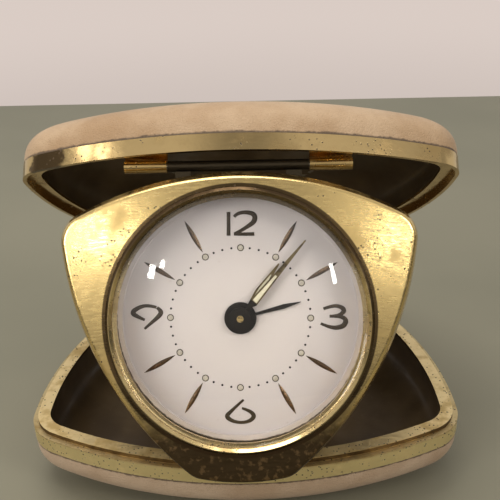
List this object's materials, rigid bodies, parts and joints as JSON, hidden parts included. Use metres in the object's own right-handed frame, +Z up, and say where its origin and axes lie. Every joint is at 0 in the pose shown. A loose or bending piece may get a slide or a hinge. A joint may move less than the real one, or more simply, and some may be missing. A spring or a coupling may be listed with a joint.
{
  "type": "folding travel alarm clock",
  "caption": "Clamshell travel alarm clock: a leather-covered folding case with brass rims, and a shield-shaped brass clock hinged to the raised lid.",
  "frame": {"origin": "centre of the flat underneath the base half, on the surface it stands on", "axes": "+Z up, -Y towards the reader of the dial, X across the clock along its hinge pins"},
  "size_m": [0.081, 0.0881, 0.0699],
  "materials": {
    "base_leather": "soft pink-beige leather, fine grain",
    "lid_leather": "soft pink-beige leather, rubbed",
    "pressed_steel": "plain pressed sheet",
    "dark_lining": "dark brown, slightly glossy",
    "rim_brass": "polished, worn and stained",
    "hinge_brass": "polished",
    "pin_steel": "bright",
    "case_brass": "brushed and lacquered, speckled",
    "bezel_brass": "polished, tarnished in the corners",
    "crystal_acrylic": "clear, domed",
    "dial_white": "silvery white, satin",
    "can_steel": "nickelled",
    "screw_steel": "bright",
    "hand_metal": "dark gilt",
    "lume": "pale luminous compound",
    "alarm_hand_metal": "black",
    "spring_steel": "blued",
    "key_brass": "polished",
    "movement_brass": "brushed",
    "movement_steel": "bright"
  },
  "bodies": {
    "base": {"base_cover": "base_leather", "base_pan": "pressed_steel", "base_lining": "dark_lining", "base_rim": "rim_brass", "base_knuckle": "hinge_brass", "rear_hinge_pin": "pin_steel"},
    "lid": {"lid_cover": "lid_leather", "lid_pan": "pressed_steel", "lid_lining": "dark_lining", "lid_rim": "rim_brass", "lid_knuckles": "hinge_brass", "front_knuckles": "hinge_brass", "front_hinge_pin": "pin_steel"},
    "clock": {"clock_bar": "hinge_brass", "front_case": "case_brass", "bezel": "bezel_brass", "crystal": "crystal_acrylic", "dial": "dial_white", "dial_ring": "bezel_brass", "back_plate": "case_brass", "back_can": "can_steel", "case_screws": "screw_steel", "front_plate": "movement_brass", "rear_plate": "movement_brass", "pillars": "movement_brass", "pillar_screws": "screw_steel", "time_mainspring": "spring_steel", "alarm_mainspring": "spring_steel"},
    "minute": {"minute_hand": "hand_metal", "minute_lume": "lume", "cannon_pinion": "movement_brass", "centre_arbor": "movement_steel", "hand_set_knob": "key_brass"},
    "minute_wheel": {"minute_wheel": "movement_brass"},
    "hour": {"hour_wheel": "movement_brass", "hour_hand": "hand_metal", "hour_lume": "lume"},
    "alarm": {"alarm_wheel": "movement_brass", "alarm_hand": "alarm_hand_metal"},
    "alarm_setter": {"alarm_set_arbor": "movement_steel", "alarm_set_knob": "key_brass"},
    "time_main_wheel": {"time_main_wheel": "movement_brass"},
    "centre_wheel": {"centre_wheel": "movement_brass"},
    "third_wheel": {"third_wheel": "movement_brass"},
    "fourth_wheel": {"fourth_wheel": "movement_brass"},
    "escape_wheel": {"escape_wheel": "movement_brass"},
    "pallet_fork": {"pallet_fork": "movement_steel"},
    "balance": {"balance_wheel": "movement_brass", "hairspring": "spring_steel"},
    "time_winder": {"time_arbor": "movement_steel", "time_key": "key_brass"},
    "alarm_main_wheel": {"alarm_main_wheel": "movement_brass"},
    "alarm_star_wheel": {"alarm_star_wheel": "movement_brass"},
    "alarm_hammer": {"alarm_hammer": "movement_steel"},
    "alarm_winder": {"alarm_arbor": "movement_steel", "alarm_key": "key_brass"},
    "alarm_stop": {"alarm_stop": "key_brass"},
    "regulator": {"regulator": "movement_steel"}
  },
  "joints": [
    {"name": "lid_hinge", "type": "hinge", "parent": "base", "child": "lid", "pos_m": [0, 0.0397, 0.0112], "axis": [-1, 0, 0], "range_deg": [0, 50]},
    {"name": "clock_hinge", "type": "hinge", "parent": "lid", "child": "clock", "pos_m": [0, -0.01371, 0.06022], "axis": [1, 0, 0], "range_deg": [0, 74.4]},
    {"name": "hand_setting", "type": "hinge", "parent": "clock", "child": "minute", "pos_m": [0, -0.02957, 0.03875], "axis": [0, -0.8988, 0.4384], "continuous": true},
    {"name": "minute_wheel_turn", "type": "hinge", "parent": "clock", "child": "minute_wheel", "pos_m": [0.003, -0.03185, 0.03408], "axis": [0, -0.8988, 0.4384], "continuous": true},
    {"name": "hour_turn", "type": "hinge", "parent": "clock", "child": "hour", "pos_m": [0, -0.02957, 0.03875], "axis": [0, -0.8988, 0.4384], "continuous": true},
    {"name": "alarm_turn", "type": "hinge", "parent": "clock", "child": "alarm", "pos_m": [0, -0.02957, 0.03875], "axis": [0, -0.8988, 0.4384], "continuous": true},
    {"name": "alarm_setting", "type": "hinge", "parent": "clock", "child": "alarm_setter", "pos_m": [-0.00705, -0.02845, 0.04106], "axis": [0, -0.8988, 0.4384], "continuous": true},
    {"name": "time_main_turn", "type": "hinge", "parent": "clock", "child": "time_main_wheel", "pos_m": [-0.00742, -0.03283, 0.03208], "axis": [0, -0.8988, 0.4384], "continuous": true},
    {"name": "centre_turn", "type": "hinge", "parent": "clock", "child": "centre_wheel", "pos_m": [0, -0.02957, 0.03875], "axis": [0, -0.8988, 0.4384], "continuous": true},
    {"name": "third_turn", "type": "hinge", "parent": "clock", "child": "third_wheel", "pos_m": [-0.00125, -0.02646, 0.04513], "axis": [0, -0.8988, 0.4384], "continuous": true},
    {"name": "fourth_turn", "type": "hinge", "parent": "clock", "child": "fourth_wheel", "pos_m": [0.00487, -0.02646, 0.04513], "axis": [0, -0.8988, 0.4384], "continuous": true},
    {"name": "escape_turn", "type": "hinge", "parent": "clock", "child": "escape_wheel", "pos_m": [0.00831, -0.02797, 0.04204], "axis": [0, -0.8988, 0.4384], "continuous": true},
    {"name": "pallet_rock", "type": "hinge", "parent": "clock", "child": "pallet_fork", "pos_m": [0.01031, -0.02949, 0.03892], "axis": [0, -0.8988, 0.4384], "range_deg": [-5, 5]},
    {"name": "balance_swing", "type": "hinge", "parent": "clock", "child": "balance", "pos_m": [0.015, -0.02874, 0.04046], "axis": [0, -0.8988, 0.4384], "range_deg": [-200, 200]},
    {"name": "time_winding", "type": "hinge", "parent": "clock", "child": "time_winder", "pos_m": [-0.00742, -0.03283, 0.03208], "axis": [0, -0.8988, 0.4384], "continuous": true},
    {"name": "alarm_main_turn", "type": "hinge", "parent": "clock", "child": "alarm_main_wheel", "pos_m": [0.00948, -0.03331, 0.03109], "axis": [0, -0.8988, 0.4384], "continuous": true},
    {"name": "alarm_star_turn", "type": "hinge", "parent": "clock", "child": "alarm_star_wheel", "pos_m": [0.00315, -0.03491, 0.0278], "axis": [0, -0.8988, 0.4384], "continuous": true},
    {"name": "hammer_swing", "type": "hinge", "parent": "clock", "child": "alarm_hammer", "pos_m": [0.00315, -0.03662, 0.0243], "axis": [0, -0.8988, 0.4384], "range_deg": [-8, 3]},
    {"name": "alarm_winding", "type": "hinge", "parent": "clock", "child": "alarm_winder", "pos_m": [0.00948, -0.03331, 0.03109], "axis": [0, -0.8988, 0.4384], "continuous": true},
    {"name": "alarm_stop_slide", "type": "slide", "parent": "clock", "child": "alarm_stop", "axis": [1, 0, 0], "range_m": [0, 0.003]},
    {"name": "regulator_turn", "type": "hinge", "parent": "clock", "child": "regulator", "pos_m": [0.015, -0.02874, 0.04046], "axis": [0, -0.8988, 0.4384], "range_deg": [-20, 20]}
  ],
  "couplings": [
    {"joint": "clock_hinge", "follows": "lid_hinge", "ratio": 1.488},
    {"joint": "minute_wheel_turn", "follows": "hand_setting", "ratio": -0.33333},
    {"joint": "hour_turn", "follows": "hand_setting", "ratio": 0.083333},
    {"joint": "alarm_setting", "follows": "alarm_turn", "ratio": -4},
    {"joint": "centre_turn", "follows": "third_turn", "ratio": -0.125},
    {"joint": "time_main_turn", "follows": "third_turn", "ratio": 0.020833},
    {"joint": "fourth_turn", "follows": "third_turn", "ratio": -7.5},
    {"joint": "escape_turn", "follows": "third_turn", "ratio": 60},
    {"joint": "alarm_star_turn", "follows": "alarm_main_turn", "ratio": -8.125}
  ]
}
